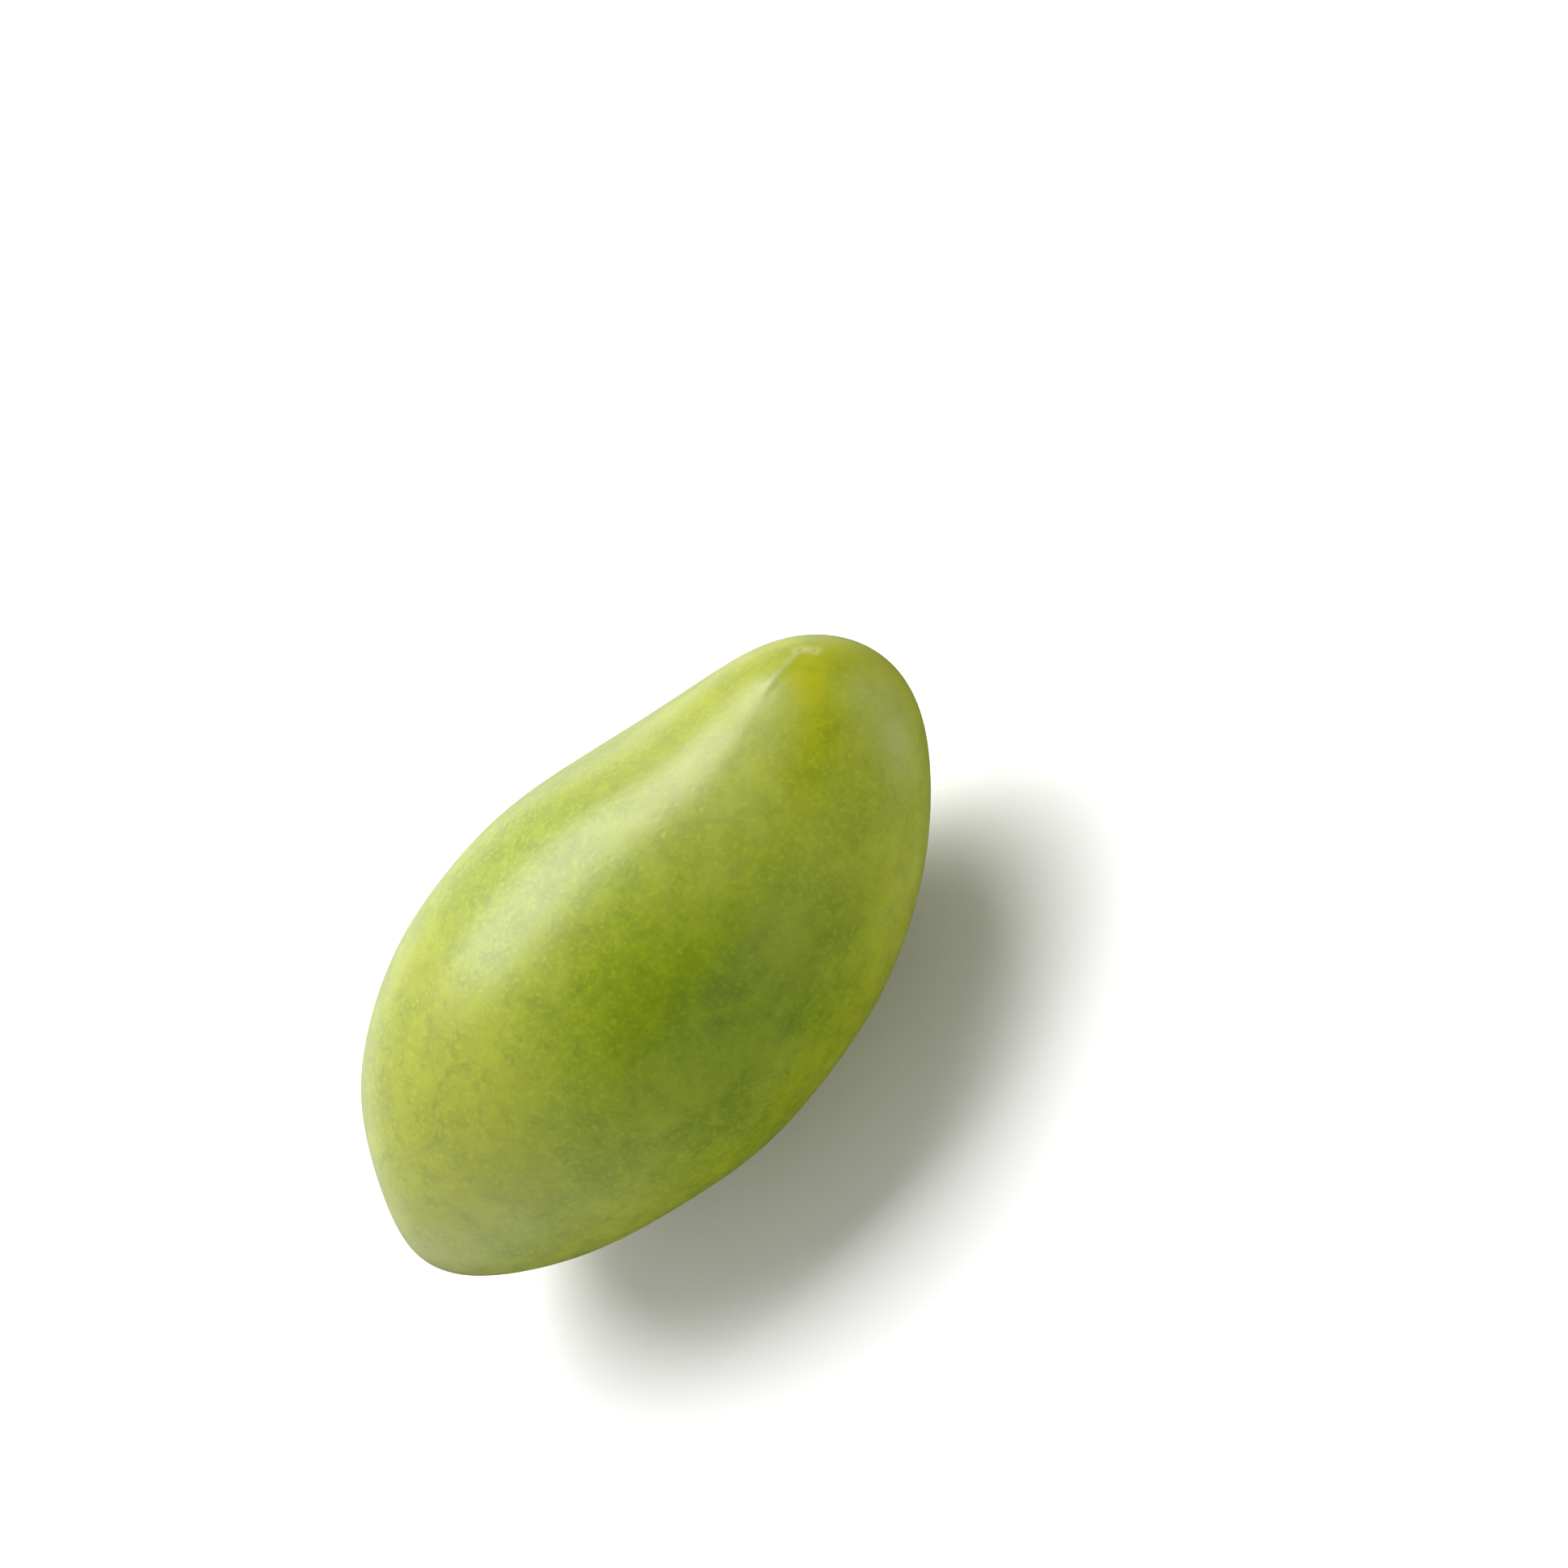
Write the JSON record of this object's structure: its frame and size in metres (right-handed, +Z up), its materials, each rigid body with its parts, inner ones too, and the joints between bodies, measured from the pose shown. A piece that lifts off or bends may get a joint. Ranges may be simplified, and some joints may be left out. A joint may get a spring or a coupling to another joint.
{
  "type": "green mango",
  "caption": "Whole elongated green mango with a small beak at one end and a dry corky stem stub in a shallow hollow at the other, lying on a small flat spot.",
  "frame": {"origin": "centre of the bounding box at the surface the fruit lies on", "axes": "+X along the fruit from the stem to the beak, +Z up"},
  "size_m": [0.1318, 0.0692, 0.0718],
  "materials": {
    "skin": "smooth waxy fruit skin with a pale bloom and fine pale dots, satin",
    "stem": "dry corky stalk, rough"
  },
  "bodies": {
    "root": {"fruit": "skin", "stem_stub": "stem"}
  },
  "joints": []
}
